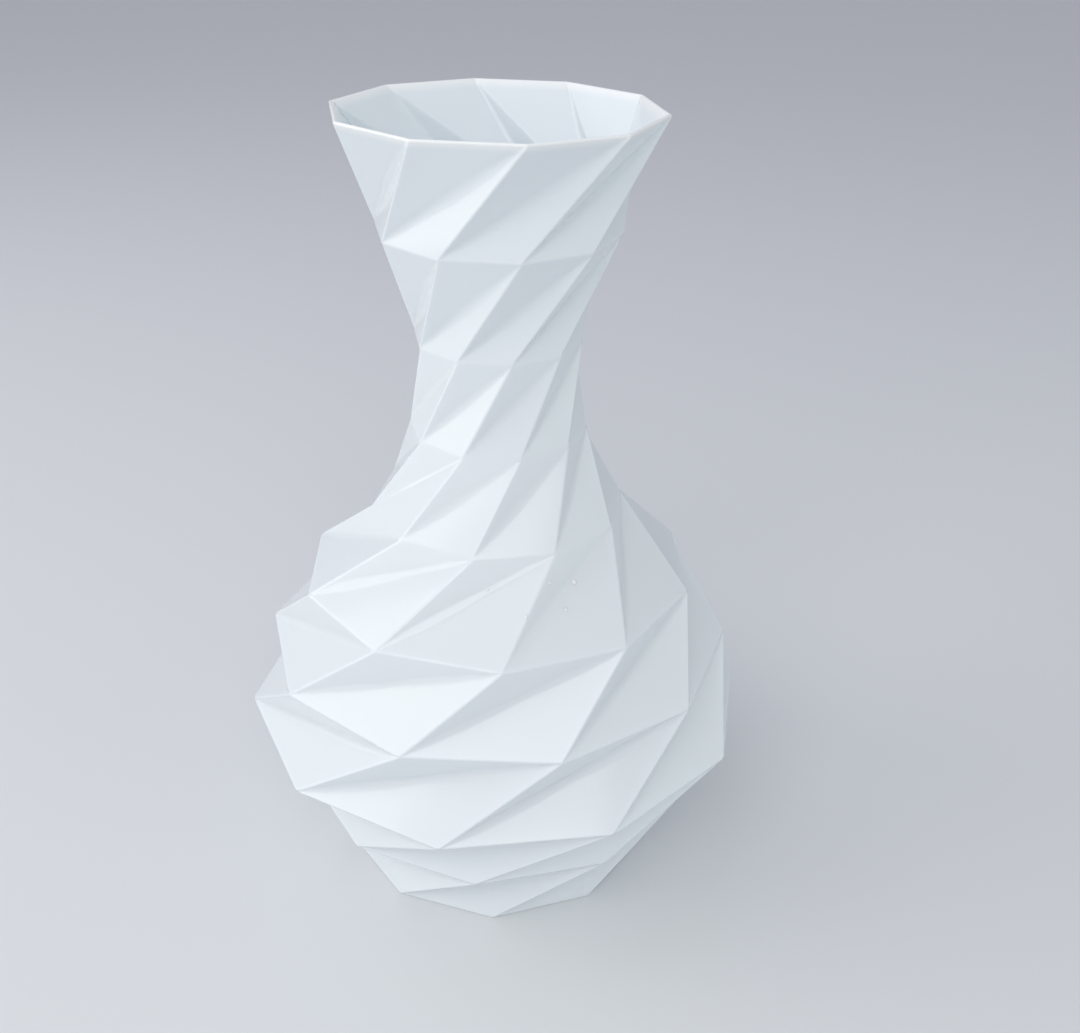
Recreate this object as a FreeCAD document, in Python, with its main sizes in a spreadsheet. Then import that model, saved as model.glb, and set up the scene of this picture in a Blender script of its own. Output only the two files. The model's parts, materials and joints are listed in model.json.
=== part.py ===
import FreeCAD, Part
import math
import os

# Free-standing faceted vase, printed in one run as a thin wall on a solid floor.
# Its skin is all flat triangles: ten ridges run down from the rim to the foot and turn
# clockwise, seen from above, a little on each of nine bands, so that every band is a
# belt of twenty triangles: between two ridges, a valley crosses it at a flatter slope.
# The outline narrows from the rim to the throat, swells to the belly and draws in to
# the foot. The inside follows the outside, one printed line thinner. The wall is given in
# five stretches, one above the other.
#
# Millimetres and degrees. +Z is up. The origin is the middle of the foot's underside.
# The camera side of the vase faces -Y, and angles are counted from +X, anticlockwise
# seen from above.

# The rings of corners, from the top down
RINGS = ["rim", "flare", "throat", "neck", "collar", "shoulder", "bulge", "belly", "heel", "foot"]

# The stretches of the wall, from the top down: each runs from one ring to another, and
# the next one takes over on the same ring, face to face
STRETCHES = [
    ("mouth_wall", "rim", "throat"),
    ("neck_wall", "throat", "collar"),
    ("shoulder_wall", "collar", "bulge"),
    ("belly_wall", "bulge", "heel"),
    ("foot_wall", "heel", "foot"),
]

# Driving sizes: name, value and what it is
SIZES = [
    ("sides", 10, "corners on each ring, and so ridges round the vase"),
    ("wall_width", 1.2, "width of the printed wall, level with the table"),
    ("floor_thickness", 1.6, "height of the solid floor"),
    ("first_corner_angle", -81, "direction of the rim's first corner"),
    ("rim_radius", 38.5, "axis to a corner of the rim"),
    ("flare_radius", 29, "axis to a corner below the rim, where the mouth opens"),
    ("throat_radius", 20.5, "axis to a corner at the narrowest place"),
    ("neck_radius", 22, "axis to a corner at the lower end of the neck"),
    ("collar_radius", 32, "axis to a corner where the neck spreads"),
    ("shoulder_radius", 50.5, "axis to a corner of the shoulder"),
    ("bulge_radius", 61, "axis to a corner above the widest place"),
    ("belly_radius", 67, "axis to a corner at the widest place"),
    ("heel_radius", 54.5, "axis to a corner below the belly"),
    ("foot_radius", 43.5, "axis to a corner of the foot"),
    ("flare_drop", 26.5, "rim down to the flare"),
    ("throat_drop", 26, "flare down to the throat"),
    ("neck_drop", 23, "throat down to the neck"),
    ("collar_drop", 21, "neck down to the collar"),
    ("shoulder_drop", 19, "collar down to the shoulder"),
    ("bulge_drop", 19, "shoulder down to the bulge"),
    ("belly_drop", 20, "bulge down to the belly"),
    ("heel_drop", 22.5, "belly down to the heel"),
    ("foot_drop", 23, "heel down to the table"),
    ("flare_angle", 35, "turn of the ridges from the rim to the flare"),
    ("throat_angle", 37, "turn from the flare to the throat"),
    ("neck_angle", 31, "turn from the throat to the neck"),
    ("collar_angle", 25, "turn from the neck to the collar"),
    ("shoulder_angle", 24, "turn from the collar to the shoulder"),
    ("bulge_angle", 23, "turn from the shoulder to the bulge"),
    ("belly_angle", 26, "turn from the bulge to the belly"),
    ("heel_angle", 30, "turn from the belly to the heel"),
    ("foot_angle", 32, "turn from the heel to the foot"),
]

doc = FreeCAD.newDocument("faceted_vase")
sheet = doc.addObject("Spreadsheet::Sheet", "sizes")


def fill_sheet():
    """Write each driving size into its own row: its name, its value and what it is."""
    for row, (name, value, meaning) in enumerate(SIZES, start=1):
        sheet.set(f"A{row}", name)
        sheet.set(f"B{row}", str(value))
        sheet.set(f"C{row}", meaning)
        sheet.setAlias(f"B{row}", name)
    doc.recompute()


def size(name):
    """One driving size, read back from the sheet."""
    return float(sheet.get(name))


def ring_height(ring):
    """Height of a ring over the table: the drops of all rings below it, added up."""
    below = RINGS[RINGS.index(ring) + 1:]
    return sum(size(f"{lower}_drop") for lower in below)


def ring_direction(ring):
    """Direction of a ring's first corner, turned clockwise by every band above it."""
    passed = RINGS[1:RINGS.index(ring) + 1]
    return size("first_corner_angle") - sum(size(f"{name}_angle") for name in passed)


def ring_corners(ring, inset):
    """Corners of one ring, with its sides moved in towards the axis by inset."""
    sides = int(size("sides"))
    step = 360 / sides
    radius = size(f"{ring}_radius") - inset / math.cos(math.radians(step / 2))
    corners = []
    for count in range(sides):
        angle = math.radians(ring_direction(ring) + step * count)
        corner = FreeCAD.Vector(radius * math.cos(angle), radius * math.sin(angle), ring_height(ring))
        corners.append(corner)
    return corners


def flat_face(*corners):
    """A flat face with these corners."""
    return Part.Face(Part.makePolygon([*corners, corners[0]]))


def band_faces(upper, lower):
    """The belt of triangles between two rings, with a ridge and a valley for each side."""
    faces = []
    for count, top in enumerate(upper):
        after = (count + 1) % len(upper)
        faces.append(flat_face(top, lower[count], upper[after]))
        faces.append(flat_face(upper[after], lower[count], lower[after]))
    return faces


def faceted_form(highest, lowest, inset):
    """The closed solid between two rings, inside the skin that lies inset behind the outer one."""
    names = RINGS[RINGS.index(highest):RINGS.index(lowest) + 1]
    rings = [ring_corners(ring, inset) for ring in names]
    faces = [flat_face(*rings[0]), flat_face(*rings[-1])]
    for upper, lower in zip(rings, rings[1:]):
        faces.extend(band_faces(upper, lower))
    shell = Part.Shell(faces)
    shell.sewShape()
    form = Part.Solid(shell)
    if form.Volume < 0:
        form.reverse()
    return form


def add_form(name, highest, lowest, inset):
    """A faceted form as an object of the document."""
    form = doc.addObject("Part::Feature", name)
    form.Shape = faceted_form(highest, lowest, inset)
    form.Placement = FreeCAD.Placement()
    return form


def add_stretch(name, highest, lowest):
    """A stretch of the printed wall: its outer form less the space inside it."""
    stretch = doc.addObject("Part::Cut", name)
    stretch.Label = name
    stretch.Base = add_form(f"{name}_outside", highest, lowest, 0)
    stretch.Tool = add_form(f"{name}_inside", highest, lowest, size("wall_width"))
    stretch.Placement = FreeCAD.Placement()
    return stretch


def add_floor(cavity):
    """The solid floor, level with the wall's lower end: it fills the lowest slice of the inside."""
    slice_disc = doc.addObject("Part::Cylinder", "floor_slice")
    slice_disc.setExpression("Radius", "sizes.foot_radius + sizes.heel_radius")
    slice_disc.setExpression("Height", "sizes.floor_thickness")
    floor = doc.addObject("Part::Common", "solid_floor")
    floor.Label = "solid_floor"
    floor.Base = cavity
    floor.Tool = slice_disc
    floor.Placement = FreeCAD.Placement()
    return floor


def check(pieces):
    """Stop if any object of the document failed, or a piece is not one sound solid."""
    for item in doc.Objects:
        if "Invalid" in item.State or "Error" in item.State:
            raise RuntimeError(f"{item.Label} failed: {item.State}")
    for piece in pieces:
        if piece.Shape.isNull() or not piece.Shape.isValid() or len(piece.Shape.Solids) != 1:
            raise RuntimeError(f"{piece.Label} is not one sound solid")


def write(pieces):
    """Write each piece to its own file, and print its size."""
    os.makedirs("parts", exist_ok=True)
    for piece in pieces:
        piece.Shape.exportStep(f"parts/{piece.Label}.step")
        box = piece.Shape.BoundBox
        extent = f"{box.XLength:.1f} x {box.YLength:.1f} x {box.ZLength:.1f} mm"
        print(f"{piece.Label}: {extent}, {piece.Shape.Volume / 1000:.1f} cm3")


fill_sheet()
stretches = [add_stretch(*stretch) for stretch in STRETCHES]
printed_pieces = [*stretches, add_floor(stretches[-1].Tool)]
doc.recompute()
check(printed_pieces)
write(printed_pieces)
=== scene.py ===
import json
import math

import bmesh
import bpy
from bpy.props import FloatProperty, FloatVectorProperty, IntProperty, PointerProperty
from bpy.types import Operator, Panel, PropertyGroup
from mathutils import Matrix, Vector

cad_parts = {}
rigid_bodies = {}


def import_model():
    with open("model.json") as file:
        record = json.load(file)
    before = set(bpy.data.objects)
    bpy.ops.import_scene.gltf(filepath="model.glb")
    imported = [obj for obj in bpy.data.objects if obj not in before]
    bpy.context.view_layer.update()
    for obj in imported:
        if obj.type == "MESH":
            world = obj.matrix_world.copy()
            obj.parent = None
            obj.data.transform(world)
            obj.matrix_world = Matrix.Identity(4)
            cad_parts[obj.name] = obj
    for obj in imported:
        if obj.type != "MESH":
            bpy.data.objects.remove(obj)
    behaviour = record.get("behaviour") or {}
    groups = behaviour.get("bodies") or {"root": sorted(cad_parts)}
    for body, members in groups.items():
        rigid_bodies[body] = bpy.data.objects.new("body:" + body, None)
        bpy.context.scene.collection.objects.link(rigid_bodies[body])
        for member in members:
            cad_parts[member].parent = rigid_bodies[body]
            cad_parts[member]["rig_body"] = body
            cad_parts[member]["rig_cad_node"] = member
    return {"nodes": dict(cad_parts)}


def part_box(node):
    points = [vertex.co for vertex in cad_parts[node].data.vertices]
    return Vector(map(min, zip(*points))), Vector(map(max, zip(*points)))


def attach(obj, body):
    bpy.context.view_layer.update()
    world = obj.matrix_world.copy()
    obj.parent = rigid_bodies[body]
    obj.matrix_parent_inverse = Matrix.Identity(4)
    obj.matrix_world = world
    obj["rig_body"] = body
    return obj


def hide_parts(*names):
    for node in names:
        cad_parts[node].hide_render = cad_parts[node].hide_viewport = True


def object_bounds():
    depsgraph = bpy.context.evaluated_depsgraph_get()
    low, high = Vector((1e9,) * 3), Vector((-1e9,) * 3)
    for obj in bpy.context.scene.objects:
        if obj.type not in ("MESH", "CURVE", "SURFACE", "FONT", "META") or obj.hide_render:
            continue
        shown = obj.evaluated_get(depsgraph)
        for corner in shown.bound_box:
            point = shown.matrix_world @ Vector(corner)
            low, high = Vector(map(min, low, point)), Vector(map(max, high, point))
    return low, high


bl_info = {
    "name": "Faceted vase",
    "version": (1, 0, 0),
    "blender": (4, 5, 0),
    "location": "3D View > Sidebar > Vase",
    "description": "Finishes the printed vase round its frame and sets it in a plain studio",
    "category": "Add Mesh",
}

# Metres, +Z up. The vase stands on the floor at the origin and the camera looks along +Y.
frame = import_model()
CAD_BOX = [list(corner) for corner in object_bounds()]
WALL_NODES = ["mouth_wall", "neck_wall", "shoulder_wall", "belly_wall", "foot_wall"]
FLOOR_NODE = "solid_floor"
BODY = "root"
SLOT = "white_plastic"
MM = 0.001
SIDES = 10
# Corners nearer than this are one corner.
MERGE = 0.01 * MM
# A face is level where its normal points at least this far up or down.
LEVEL = 0.999
ROUNDING_STEPS = 2

# Painted light: the plastic's colour is painted lighter at the rim, for the light that comes
# through the thin edge. Elsewhere its colour drifts a little, down to this share of its
# brightness, in blotches, so many to a metre.
RIM_PAINTED_LIGHT = (0.94, 0.96, 0.98)
DARKEST_SHARE = 0.97
BLOTCHES = 25.0
# How the level bands are drawn out sideways, and how much rougher they make the plastic.
BAND_STRETCH = (0.04, 0.04, 1.0)
BAND_ROUGHNESS = 0.04
PLASTIC_IOR = 1.5

# The studio's floor is matt, and the even light from all round is a little blue.
STUDIO_ROUGHNESS = 0.8
ROOM_COLOUR = (0.88, 0.90, 1.0)

# Steps of the grid across one printed line of the floor, the groove beside it among them.
STEPS_PER_LINE = 3

# How wide, thick and high a bead is beside a ball of its radius. Its top, from a share of that
# radius upwards, is drawn up by another share into a tip.
BEAD_SHAPE = (0.9, 0.6, 1.0)
TIP_START = 0.85
TIP_RISE = 0.5


class VaseWallSettings(PropertyGroup):
    """How the printed wall is finished."""

    ridge_radius: FloatProperty(
        name="Ridge rounding", description="How far each ridge's rounding reaches down its sides",
        default=0.45 * MM, min=0.0, unit="LENGTH",
    )
    lip_radius: FloatProperty(
        name="Lip rounding", description="How far the rounding of the rim's outer edge reaches",
        default=0.8 * MM, min=0.0, unit="LENGTH",
    )
    lip_inner_radius: FloatProperty(
        name="Inner lip rounding", description="How far the rounding of the rim's inner edge reaches",
        default=0.3 * MM, min=0.0, unit="LENGTH",
    )
    valley_radius: FloatProperty(
        name="Valley rounding", description="How far each valley's rounding reaches up its sides",
        default=2.5 * MM, min=0.1 * MM, unit="LENGTH",
    )
    valley_taper: FloatProperty(
        name="Valley taper", description="Length over which a valley's rounding runs out to its ends",
        default=22.0 * MM, min=0.1 * MM, unit="LENGTH",
    )
    valley_cuts: IntProperty(
        name="Valley cuts", description="Cuts along each valley, so that its rounding can run out",
        default=7, min=1,
    )
    flat_angle: FloatProperty(
        name="Flat angle", description="Facets that meet at less than this stay one flat face",
        default=math.radians(1), min=0.0, subtype="ANGLE",
    )


class VaseFloorSettings(PropertyGroup):
    """How the printed floor is finished."""

    line_width: FloatProperty(
        name="Line width", description="Width of one printed line of the floor",
        default=0.6 * MM, min=0.2 * MM, unit="LENGTH",
    )
    groove_depth: FloatProperty(
        name="Groove depth", description="Depth of the groove between two lines",
        default=0.07 * MM, min=0.0, unit="LENGTH",
    )
    line_angle: FloatProperty(
        name="Line direction", description="Turn of the printed lines about the vertical",
        default=math.radians(45), subtype="ANGLE",
    )


class VasePlasticSettings(PropertyGroup):
    """The white printed plastic."""

    colour: FloatVectorProperty(
        name="Colour", description="Colour of the plastic", subtype="COLOR",
        default=(0.83, 0.875, 0.91), min=0.0, max=1.0,
    )
    gloss_roughness: FloatProperty(
        name="Roughness", description="Roughness of the smoothest facets", default=0.07,
        min=0.0, max=1.0, subtype="FACTOR",
    )
    translucency: FloatProperty(
        name="Translucency", description="Share of the light that spreads inside the wall",
        default=0.5, min=0.0, max=1.0, subtype="FACTOR",
    )
    light_reach: FloatProperty(
        name="Light reach", description="How far light spreads inside the plastic",
        default=1.0 * MM, min=0.0, unit="LENGTH",
    )
    band_height: FloatProperty(
        name="Band height", description="Height of the faint level bands that the layers leave",
        default=1.6 * MM, min=0.1 * MM, unit="LENGTH",
    )
    band_depth: FloatProperty(
        name="Band depth", description="Depth of the faint level bands",
        default=0.004 * MM, min=0.0, unit="LENGTH",
    )
    # Painted light: height of the band at the rim whose colour is painted lighter.
    painted_rim_light_height: FloatProperty(
        name="Rim glow", description="Height of the rim's band that lets the light through",
        default=2.4 * MM, min=0.1 * MM, unit="LENGTH",
    )


class VaseStageSettings(PropertyGroup):
    """Camera, lamps and floor."""

    camera_distance: FloatProperty(
        name="Camera distance", description="From the vase's axis, along the floor",
        default=0.2803, min=0.05, unit="LENGTH",
    )
    camera_height: FloatProperty(
        name="Camera height", description="Height of the camera over the floor",
        default=0.2514, min=0.0, unit="LENGTH",
    )
    camera_tilt: FloatProperty(
        name="Camera tilt", description="How far the camera looks down",
        default=math.radians(28.69), subtype="ANGLE",
    )
    camera_pan: FloatProperty(
        name="Camera pan", description="How far the camera looks to the right of the axis",
        default=math.radians(2.21), subtype="ANGLE",
    )
    camera_roll: FloatProperty(
        name="Camera roll", description="How far the right side of the camera is raised",
        default=math.radians(1.02), subtype="ANGLE",
    )
    lens: FloatProperty(
        name="Lens", description="Focal length", default=41.2, min=1.0, unit="CAMERA",
    )
    window_power: FloatProperty(
        name="Window power", description="Watts of the soft lamp on the left",
        default=3.1, min=0.0,
    )
    front_power: FloatProperty(
        name="Front power", description="Watts of the soft lamp over the camera",
        default=3.35, min=0.0,
    )
    top_power: FloatProperty(
        name="Top power", description="Watts of the soft lamp overhead",
        default=1.2, min=0.0,
    )
    side_power: FloatProperty(
        name="Side power", description="Watts of the soft lamp on the right",
        default=0.7, min=0.0,
    )
    room_light: FloatProperty(
        name="Room light", description="Strength of the even light from all round",
        default=0.53, min=0.0,
    )
    floor_colour: FloatVectorProperty(
        name="Floor colour", description="Colour of the floor", subtype="COLOR",
        default=(0.76, 0.77, 0.79), min=0.0, max=1.0,
    )
    floor_size: FloatProperty(
        name="Floor size", description="Width of the floor", default=8.0, min=0.1, unit="LENGTH",
    )


def only(*objects):
    """Select these objects alone, the last of them active."""
    bpy.ops.object.select_all(action="DESELECT")
    for item in objects:
        item.select_set(True)
        bpy.context.view_layer.objects.active = item


def copy_node(name):
    """A copy of a CAD node with a mesh of its own, off its body and shown."""
    only(frame["nodes"][name])
    bpy.ops.object.duplicate()
    copy = bpy.context.object
    bpy.ops.object.parent_clear(type="CLEAR_KEEP_TRANSFORM")
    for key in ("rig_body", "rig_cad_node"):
        del copy[key]
    return copy


def edit_selection(piece, kind, test):
    """Open a piece in edit mode with the elements selected that pass a test."""
    only(piece)
    bpy.ops.object.mode_set(mode="EDIT")
    bpy.ops.mesh.select_all(action="DESELECT")
    bpy.ops.mesh.select_mode(type=kind)
    mesh = bmesh.from_edit_mesh(piece.data)
    elements = {"VERT": mesh.verts, "EDGE": mesh.edges, "FACE": mesh.faces}[kind]
    for element in elements:
        if test(element):
            element.select_set(True)
    bmesh.update_edit_mesh(piece.data)


def merge_corners(piece):
    """Make one corner of all those of a piece that lie in one place."""
    edit_selection(piece, "VERT", lambda vert: True)
    bpy.ops.mesh.remove_doubles(threshold=MERGE)
    bpy.ops.object.mode_set(mode="OBJECT")


def apply_modifier(piece, kind, **settings):
    """Add a modifier with these settings to a piece and apply it."""
    only(piece)
    modifier = piece.modifiers.new(kind.lower(), kind)
    for name, value in settings.items():
        setattr(modifier, name, value)
    bpy.ops.object.modifier_apply(modifier=modifier.name)


def place(piece, *nodes):
    """Hand a finished piece to the frame in the place of these nodes."""
    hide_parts(*nodes)
    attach(piece, BODY)


class Wire:
    """A shader socket that takes part in plain sums."""

    def __init__(self, nodes, socket):
        self.nodes = nodes
        self.socket = socket

    def sum(self, operation, *values):
        sockets = dict(enumerate(values))
        return self.nodes.add("ShaderNodeMath", {"operation": operation}, sockets)

    def __add__(self, other):
        return self.sum("ADD", self, other)

    def __mul__(self, other):
        return self.sum("MULTIPLY", self, other)

    __radd__ = __add__
    __rmul__ = __mul__


class Finish:
    """A material and its nodes."""

    def __init__(self, name):
        self.material = bpy.data.materials.new(name)
        self.material.use_nodes = True
        self.tree = self.material.node_tree
        self.shader = self.tree.nodes["Principled BSDF"]

    def add(self, kind, settings, values, output=0):
        """Add a node, with its settings first, then its sockets; gives one of its outputs."""
        node = self.tree.nodes.new(kind)
        for name, value in settings.items():
            setattr(node, name, value)
        for socket, value in values.items():
            self.set(node.inputs[socket], value)
        return Wire(self, node.outputs[output])

    def set(self, socket, value):
        """Give a socket a value or a link."""
        if isinstance(value, Wire):
            self.tree.links.new(value.socket, socket)
        else:
            socket.default_value = value

    def surface(self, **values):
        """Set the shader's own sockets, named with underscores for spaces."""
        for name, value in values.items():
            self.set(self.shader.inputs[name.replace("_", " ")], value)

    def noise(self, point, scale, detail=2.0):
        """Smooth noise from 0 to 1 that changes from point to point."""
        values = {"Vector": point, "Scale": scale, "Detail": detail}
        return self.add("ShaderNodeTexNoise", {}, values)

    def ramp(self, value, start, end):
        """A smooth rise from 0 to 1 between two values."""
        settings = {"interpolation_type": "SMOOTHSTEP"}
        values = {"Value": value, "From Min": start, "From Max": end}
        return self.add("ShaderNodeMapRange", settings, values)

    def blend(self, share, first, second):
        """A colour between two, each of them a wire or plain red, green and blue."""
        first, second = [
            colour if isinstance(colour, Wire) else (*colour, 1.0) for colour in (first, second)
        ]
        values = {"Factor": share, "A": first, "B": second}
        return self.add("ShaderNodeMix", {"data_type": "RGBA"}, values, "Result")


def white_plastic(settings):
    """White printed plastic: cool, a little translucent, faintly banded, with painted light at the
    rim.
    """
    finish = Finish(SLOT)
    point = finish.add("ShaderNodeTexCoord", {}, {}, "Object")
    along_layers = finish.add(
        "ShaderNodeMapping", {"vector_type": "POINT"}, {"Vector": point, "Scale": BAND_STRETCH},
    )
    height = finish.add("ShaderNodeSeparateXYZ", {}, {"Vector": point}, "Z")
    top = CAD_BOX[1][2]
    # Painted light: the colour turns lighter towards the rim, for the light that comes through the
    # thin edge.
    rim = finish.ramp(height, top - settings.painted_rim_light_height, top)
    drift = finish.noise(point, BLOTCHES)
    bands = finish.noise(along_layers, 1 / settings.band_height, 1.0)
    bright = settings.colour
    shaded = [DARKEST_SHARE * value for value in bright]
    normal = finish.add(
        "ShaderNodeBump", {}, {"Height": bands, "Strength": 1.0, "Distance": settings.band_depth},
    )
    finish.surface(
        Base_Color=finish.blend(rim, finish.blend(drift, bright, shaded), RIM_PAINTED_LIGHT),
        Roughness=settings.gloss_roughness + BAND_ROUGHNESS * bands,
        Subsurface_Weight=settings.translucency,
        Subsurface_Radius=(1.0, 1.0, 1.0),
        Subsurface_Scale=settings.light_reach,
        IOR=PLASTIC_IOR,
        Normal=normal,
    )
    return finish.material


def floor_paint(colour):
    """Plain pale matt floor."""
    finish = Finish("plain_floor")
    finish.surface(Base_Color=(*colour, 1.0), Roughness=STUDIO_ROUGHNESS)
    return finish.material


class VASE_OT_add_wall(Operator):
    """Finish the twisted wall: one skin from the table to the rim, with rounded ridges and lip"""

    bl_idname = "vase.add_wall"
    bl_label = "Add wall"

    def execute(self, context):
        settings = context.scene.vase_wall
        stretches = [copy_node(name) for name in WALL_NODES]
        low, high = CAD_BOX[0][2], CAD_BOX[1][2]
        only(*stretches)
        bpy.ops.object.join()
        wall = context.object
        wall.name = "vase_wall"

        merge_corners(wall)

        def joint_between_stretches(face):
            middle = face.calc_center_median().z
            return abs(face.normal.z) > LEVEL and low + MM < middle < high - MM

        edit_selection(wall, "FACE", joint_between_stretches)
        bpy.ops.mesh.delete(type="FACE")
        bpy.ops.mesh.select_all(action="SELECT")
        bpy.ops.mesh.remove_doubles(threshold=MERGE)
        bpy.ops.mesh.normals_make_consistent(inside=False)
        bpy.ops.mesh.dissolve_limited(angle_limit=settings.flat_angle)
        bpy.ops.object.mode_set(mode="OBJECT")

        self.soften_edges(wall, settings)
        bpy.ops.object.shade_smooth()
        apply_modifier(wall, "WEIGHTED_NORMAL", mode="FACE_AREA", weight=100, keep_sharp=True)
        wall.data.materials.clear()
        wall.data.materials.append(white_plastic(context.scene.vase_plastic))
        place(wall, *WALL_NODES)
        return {"FINISHED"}

    def rounding(self, middle, angle, corners, settings):
        """How far the rounding of one edge reaches, from its middle and the turn across it."""
        if middle.z > CAD_BOX[1][2] - MERGE:
            is_outer = middle.xy.length > self.rim_middle
            return settings.lip_radius if is_outer else settings.lip_inner_radius
        if angle > 0:
            return settings.ridge_radius
        to_corner = min((middle - corner).length for corner in corners)
        reach = min(1.0, to_corner / settings.valley_taper)
        return max(settings.ridge_radius, reach * settings.valley_radius)

    def soften_edges(self, wall, settings):
        """Round every ridge a little, and every valley widely, less towards its ends."""
        corners = [vert.co.copy() for vert in wall.data.vertices]
        top = CAD_BOX[1][2] - MERGE
        rim = [corner.xy.length for corner in corners if corner.z > top]
        self.rim_middle = (min(rim) + max(rim)) / 2 * math.cos(math.pi / SIDES)

        def is_valley(edge):
            return edge.calc_face_angle_signed(0.0) < -settings.flat_angle

        edit_selection(wall, "EDGE", is_valley)
        bpy.ops.mesh.subdivide(number_cuts=settings.valley_cuts)
        bpy.ops.mesh.select_all(action="SELECT")
        mesh = bmesh.from_edit_mesh(wall.data)
        weight = mesh.edges.layers.float.new("bevel_weight_edge")
        for edge in mesh.edges:
            angle = edge.calc_face_angle_signed(0.0)
            middle = (edge.verts[0].co + edge.verts[1].co) / 2
            if abs(angle) > settings.flat_angle:
                reach = self.rounding(middle, angle, corners, settings)
                edge[weight] = reach / settings.valley_radius
        bmesh.update_edit_mesh(wall.data)
        bpy.ops.object.mode_set(mode="OBJECT")
        apply_modifier(
            wall, "BEVEL", width=settings.valley_radius, segments=ROUNDING_STEPS,
            limit_method="WEIGHT", use_clamp_overlap=False, miter_outer="MITER_SHARP",
        )


class VASE_OT_add_floor(Operator):
    """Finish the solid floor inside the wall's foot, with its printed lines above and below"""

    bl_idname = "vase.add_floor"
    bl_label = "Add floor"

    def execute(self, context):
        settings = context.scene.vase_floor
        outline = copy_node(FLOOR_NODE)
        merge_corners(outline)
        low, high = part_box(FLOOR_NODE)
        width = (Vector(high) - Vector(low)).xy.length
        lines = self.add_lines(settings, width, low[2], high[2])
        apply_modifier(lines, "BOOLEAN", operation="INTERSECT", solver="EXACT", object=outline)
        bpy.data.objects.remove(outline)
        lines.name = "vase_floor"
        lines.data.materials.clear()
        lines.data.materials.append(bpy.data.materials[SLOT])
        place(lines, FLOOR_NODE)
        return {"FINISHED"}

    def add_lines(self, settings, width, bottom, top):
        """A square slab of printed lines laid side by side, grooved above and below."""
        steps = STEPS_PER_LINE * round(width / settings.line_width)
        sides = []
        for height, groove in ((bottom, settings.groove_depth), (top, -settings.groove_depth)):
            bpy.ops.object.select_all(action="DESELECT")
            bpy.ops.mesh.primitive_grid_add(
                x_subdivisions=steps, y_subdivisions=1, size=width, location=(0.0, 0.0, height),
            )
            side = bpy.context.object
            bpy.ops.object.transform_apply(location=True, rotation=False, scale=False)

            def is_groove(vert):
                return round((vert.co.x / width + 0.5) * steps) % STEPS_PER_LINE == 0

            edit_selection(side, "VERT", is_groove)
            bpy.ops.transform.translate(value=(0.0, 0.0, groove))
            bpy.ops.object.mode_set(mode="OBJECT")
            sides.append(side)
        only(*sides)
        bpy.ops.object.join()
        slab = bpy.context.object
        edit_selection(slab, "EDGE", lambda edge: edge.is_boundary)
        bpy.ops.mesh.bridge_edge_loops()
        bpy.ops.mesh.select_all(action="SELECT")
        bpy.ops.mesh.normals_make_consistent(inside=False)
        bpy.ops.object.mode_set(mode="OBJECT")
        slab.rotation_euler.z = settings.line_angle
        bpy.ops.object.transform_apply(location=False, rotation=True, scale=False)
        return slab


# Small beads of stray plastic on the wall: each one's height, its direction from the vase's axis
# in degrees, and its radius.
BEADS = [
    (98.1 * MM, -69.7, 0.42 * MM),
    (96.0 * MM, -58.1, 0.68 * MM),
    (93.4 * MM, -80.9, 0.36 * MM),
    (92.0 * MM, -65.6, 0.48 * MM),
    (96.6 * MM, -94.1, 0.30 * MM),
]


class VASE_OT_add_beads(Operator):
    """Add the few small beads of stray plastic that the nozzle left on the wall"""

    bl_idname = "vase.add_beads"
    bl_label = "Add beads"

    def execute(self, context):
        wall = bpy.data.objects["vase_wall"]
        only(*[self.add_bead(wall, *bead) for bead in BEADS])
        bpy.ops.object.join()
        beads = context.object
        beads.name = "stray_beads"
        bpy.ops.object.shade_smooth()
        beads.data.materials.append(bpy.data.materials[SLOT])
        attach(beads, BODY)
        return {"FINISHED"}

    def add_bead(self, wall, height, direction, radius):
        """A flattened bead, drawn up to a blunt tip where the nozzle left it."""
        angle = math.radians(direction)
        outward = Vector((math.cos(angle), math.sin(angle), 0.0))
        start = outward * CAD_BOX[1][0] * 2 + Vector((0.0, 0.0, height))
        found, spot, normal, _ = wall.ray_cast(start, -outward)
        if not found:
            raise RuntimeError("a bead misses the wall")
        bpy.ops.object.select_all(action="DESELECT")
        bpy.ops.mesh.primitive_uv_sphere_add(segments=16, ring_count=10, radius=radius)
        bead = bpy.context.object
        edit_selection(bead, "VERT", lambda vert: vert.co.z > TIP_START * radius)
        bpy.ops.transform.translate(value=(0.0, 0.0, TIP_RISE * radius))
        bpy.ops.object.mode_set(mode="OBJECT")
        bead.location = spot
        bead.scale = BEAD_SHAPE
        bead.rotation_euler = normal.to_track_quat("Y", "Z").to_euler()
        bpy.ops.object.transform_apply(location=True, rotation=True, scale=True)
        return bead


# Each soft lamp's place from the middle of the vase, its width and height, all in metres, and its
# colour.
LAMPS = {
    "window": {
        "spot": (-0.94, -0.10, 0.33), "width": 0.82, "height": 0.73, "colour": (0.98, 1.0, 0.89),
    },
    "front": {
        "spot": (-0.16, -0.75, 0.64), "width": 0.90, "height": 0.60, "colour": (1.0, 1.0, 0.94),
    },
    "top": {
        "spot": (-0.45, 0.10, 0.95), "width": 0.80, "height": 0.80, "colour": (0.84, 0.86, 1.0),
    },
    "side": {
        "spot": (0.87, -0.29, 0.39), "width": 0.80, "height": 0.80, "colour": (0.74, 1.0, 0.62),
    },
}


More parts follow.
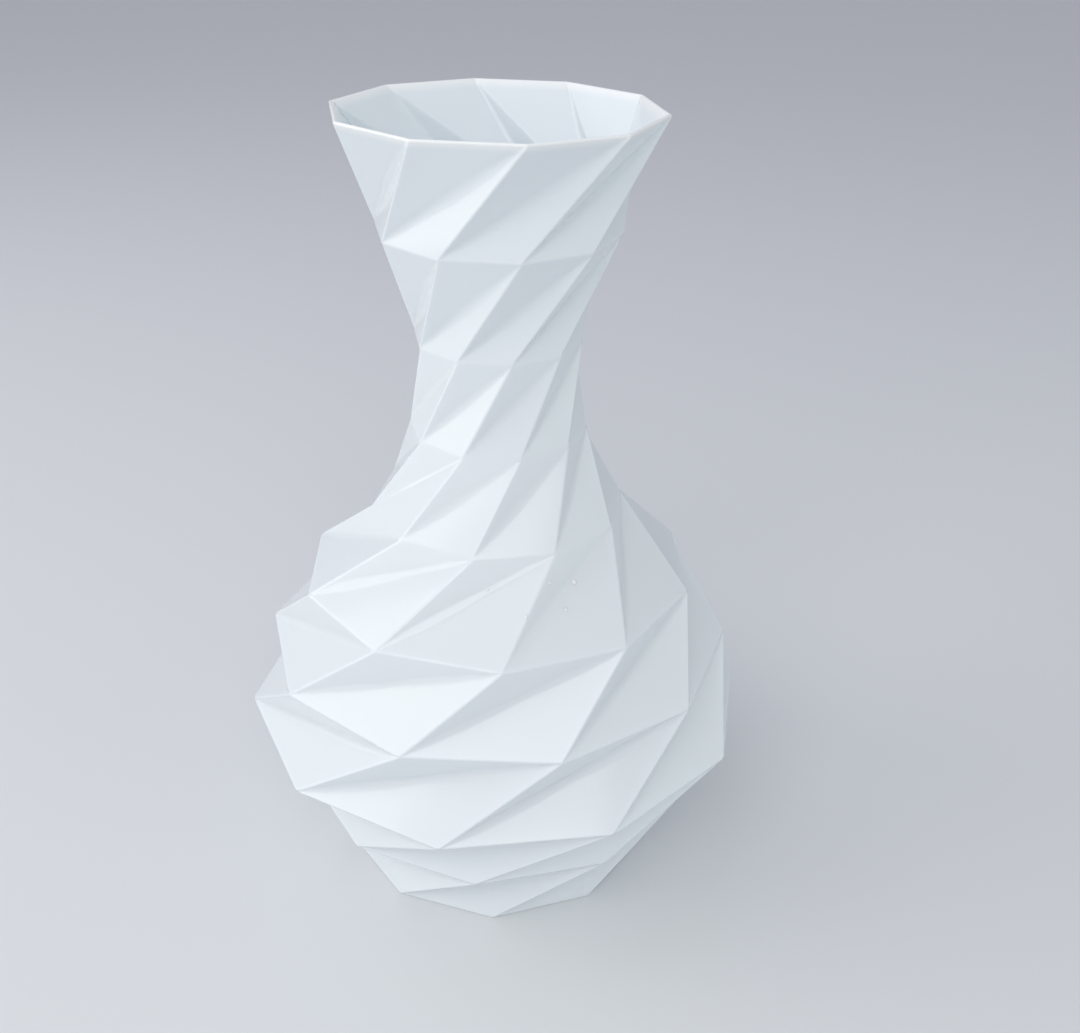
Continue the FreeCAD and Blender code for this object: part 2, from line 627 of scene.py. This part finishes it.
class VASE_OT_add_stage(Operator):
    """Add the camera, the soft lamps and the plain floor"""

    bl_idname = "vase.add_stage"
    bl_label = "Add stage"

    def execute(self, context):
        settings = context.scene.vase_stage
        self.add_camera(context, settings)
        middle = Vector((0.0, 0.0, CAD_BOX[1][2] / 2))
        for name, lamp in LAMPS.items():
            self.add_lamp(name, lamp, middle, getattr(settings, name + "_power"))

        bpy.ops.mesh.primitive_plane_add(size=settings.floor_size)
        floor = context.object
        floor.name = "studio_floor"
        floor.data.materials.append(floor_paint(settings.floor_colour))

        world = bpy.data.worlds.new("room")
        world.use_nodes = True
        background = world.node_tree.nodes["Background"]
        background.inputs["Color"].default_value = (*ROOM_COLOUR, 1.0)
        background.inputs["Strength"].default_value = settings.room_light
        context.scene.world = world
        context.scene.view_settings.view_transform = "Standard"
        return {"FINISHED"}

    def add_lamp(self, name, lamp, middle, power):
        """A rectangular soft lamp that faces the middle of the vase."""
        spot = middle + Vector(lamp["spot"])
        bpy.ops.object.light_add(type="AREA", location=spot)
        light = bpy.context.object
        light.name = name
        light.rotation_euler = (middle - spot).to_track_quat("-Z", "Y").to_euler()
        light.data.shape = "RECTANGLE"
        light.data.size = lamp["width"]
        light.data.size_y = lamp["height"]
        light.data.color = lamp["colour"]
        light.data.energy = power

    def add_camera(self, context, settings):
        """The camera, turned right by its pan, down by its tilt and then over by its roll."""
        spot = Vector((0.0, -settings.camera_distance, settings.camera_height))
        bpy.ops.object.camera_add(location=spot)
        camera = context.object
        pan = Matrix.Rotation(-settings.camera_pan, 3, "Z")
        tilt = Matrix.Rotation(math.pi / 2 - settings.camera_tilt, 3, "X")
        roll = Matrix.Rotation(settings.camera_roll, 3, "Z")
        camera.rotation_euler = (pan @ tilt @ roll).to_euler()
        camera.data.lens = settings.lens
        camera.data.clip_start = 0.01
        camera.data.clip_end = 50.0
        context.scene.camera = camera


class VASE_PT_panel(Panel):
    """The vase's pieces and their settings"""

    bl_idname = "VASE_PT_panel"
    bl_label = "Faceted vase"
    bl_space_type = "VIEW_3D"
    bl_region_type = "UI"
    bl_category = "Vase"

    def draw(self, context):
        for operator in OPERATORS:
            self.layout.operator(operator.bl_idname)
        for name, group in SETTINGS.items():
            box = self.layout.box()
            for setting in group.__annotations__:
                box.prop(getattr(context.scene, name), setting)


SETTINGS = {
    "vase_wall": VaseWallSettings,
    "vase_floor": VaseFloorSettings,
    "vase_plastic": VasePlasticSettings,
    "vase_stage": VaseStageSettings,
}
OPERATORS = [VASE_OT_add_stage, VASE_OT_add_wall, VASE_OT_add_floor, VASE_OT_add_beads]


def register():
    for part in [*SETTINGS.values(), *OPERATORS, VASE_PT_panel]:
        bpy.utils.register_class(part)
    for name, group in SETTINGS.items():
        setattr(bpy.types.Scene, name, PointerProperty(type=group))


def unregister():
    for name in SETTINGS:
        delattr(bpy.types.Scene, name)
    for part in reversed([*SETTINGS.values(), *OPERATORS, VASE_PT_panel]):
        bpy.utils.unregister_class(part)


def main():
    register()
    bpy.ops.vase.add_stage()
    bpy.ops.vase.add_wall()
    bpy.ops.vase.add_floor()
    bpy.ops.vase.add_beads()


if __name__ == "__main__":
    main()
